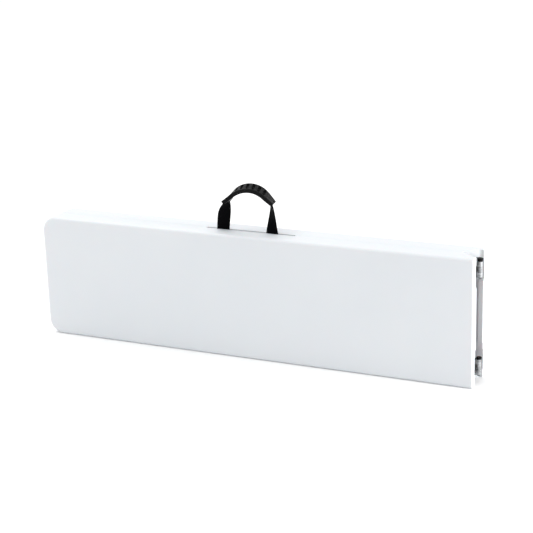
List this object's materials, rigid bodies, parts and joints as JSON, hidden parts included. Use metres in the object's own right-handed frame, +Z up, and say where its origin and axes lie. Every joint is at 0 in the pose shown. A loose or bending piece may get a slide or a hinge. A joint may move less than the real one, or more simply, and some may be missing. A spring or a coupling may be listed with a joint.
{
  "type": "folding bench table",
  "caption": "Long narrow moulded bench table that folds in half into a flat case, with folding steel legs and a webbing carry handle.",
  "frame": {"origin": "middle of the bottom edge of the folded case", "axes": "+X along the folded length towards the centre hinges, +Y from the front half to the back half, +Z up"},
  "size_m": [0.9204, 0.0834, 0.341],
  "materials": {
    "moulded_plastic": "fine matt grain, white polyethylene",
    "coated_steel": "grey powder coat",
    "hinge_steel": "dull zinc plate",
    "zinc_steel": "zinc plate",
    "black_steel": "black coating",
    "black_plastic": "matt",
    "nylon": "satin",
    "webbing": "ribbed black webbing",
    "grip_rubber": "textured soft plastic"
  },
  "bodies": {
    "front_half": {"closing_studs": "black_plastic", "front_catch_screws": "zinc_steel", "front_hinge_screws": "zinc_steel", "front_leg_axle": "zinc_steel", "front_leg_bushings": "nylon", "front_lower_hinge_leaf": "hinge_steel", "front_lower_rail": "coated_steel", "front_panel_screws": "zinc_steel", "front_rail_plugs": "black_plastic", "front_shell": "moulded_plastic", "front_strut_catch": "nylon", "front_upper_hinge_leaf": "hinge_steel", "front_upper_rail": "coated_steel", "left_strap_plate": "zinc_steel", "left_strap_root": "webbing", "lower_hinge_pin": "black_steel", "right_strap_plate": "zinc_steel", "right_strap_root": "webbing", "strap_screws": "zinc_steel", "upper_hinge_pin": "black_steel"},
    "back_half": {"back_catch_screws": "zinc_steel", "back_hinge_screws": "zinc_steel", "back_leg_axle": "zinc_steel", "back_leg_bushings": "nylon", "back_lower_hinge_leaf": "hinge_steel", "back_lower_rail": "coated_steel", "back_panel_screws": "zinc_steel", "back_rail_plugs": "black_plastic", "back_shell": "moulded_plastic", "back_strut_catch": "nylon", "back_upper_hinge_leaf": "hinge_steel", "back_upper_rail": "coated_steel"},
    "front_leg": {"front_leg_feet": "black_plastic", "front_leg_foot_bar": "coated_steel", "front_leg_lower_upright": "coated_steel", "front_leg_pivot_tube": "coated_steel", "front_leg_upper_upright": "coated_steel"},
    "back_leg": {"back_leg_feet": "black_plastic", "back_leg_foot_bar": "coated_steel", "back_leg_lower_upright": "coated_steel", "back_leg_pivot_tube": "coated_steel", "back_leg_upper_upright": "coated_steel"},
    "front_strut": {"front_strut": "coated_steel"},
    "back_strut": {"back_strut": "coated_steel"},
    "handle": {"handle_grip": "grip_rubber", "handle_strap_core": "webbing", "left_handle_strap": "webbing", "right_handle_strap": "webbing"}
  },
  "joints": [
    {"name": "fold", "type": "hinge", "parent": "front_half", "child": "back_half", "pos_m": [0.45503, 0, 0.125], "axis": [0, 0, -1], "range_deg": [0, 180]},
    {"name": "front_leg_swing", "type": "hinge", "parent": "front_half", "child": "front_leg", "pos_m": [-0.40523, -0.0121, 0.125], "axis": [0, 0, 1], "range_deg": [0, 90]},
    {"name": "back_leg_swing", "type": "hinge", "parent": "back_half", "child": "back_leg", "pos_m": [-0.40523, 0.0121, 0.125], "axis": [0, 0, -1], "range_deg": [0, 90]},
    {"name": "front_strut_swing", "type": "hinge", "parent": "front_leg", "child": "front_strut", "pos_m": [-0.24522, -0.0121, 0.125], "axis": [0, 0, -1], "range_deg": [0, 143.13]},
    {"name": "back_strut_swing", "type": "hinge", "parent": "back_leg", "child": "back_strut", "pos_m": [-0.24522, 0.0121, 0.125], "axis": [0, 0, 1], "range_deg": [0, 143.13]},
    {"name": "handle_swing", "type": "hinge", "parent": "front_half", "child": "handle", "pos_m": [-0.0056, -0.0045, 0.2504], "axis": [1, 0, 0], "range_deg": [-60, 60]}
  ],
  "couplings": [
    {"joint": "front_leg_swing", "follows": "fold", "ratio": 0.5},
    {"joint": "back_leg_swing", "follows": "fold", "ratio": 0.5},
    {"joint": "front_strut_swing", "follows": "fold", "ratio": 0.79517},
    {"joint": "back_strut_swing", "follows": "fold", "ratio": 0.79517}
  ]
}
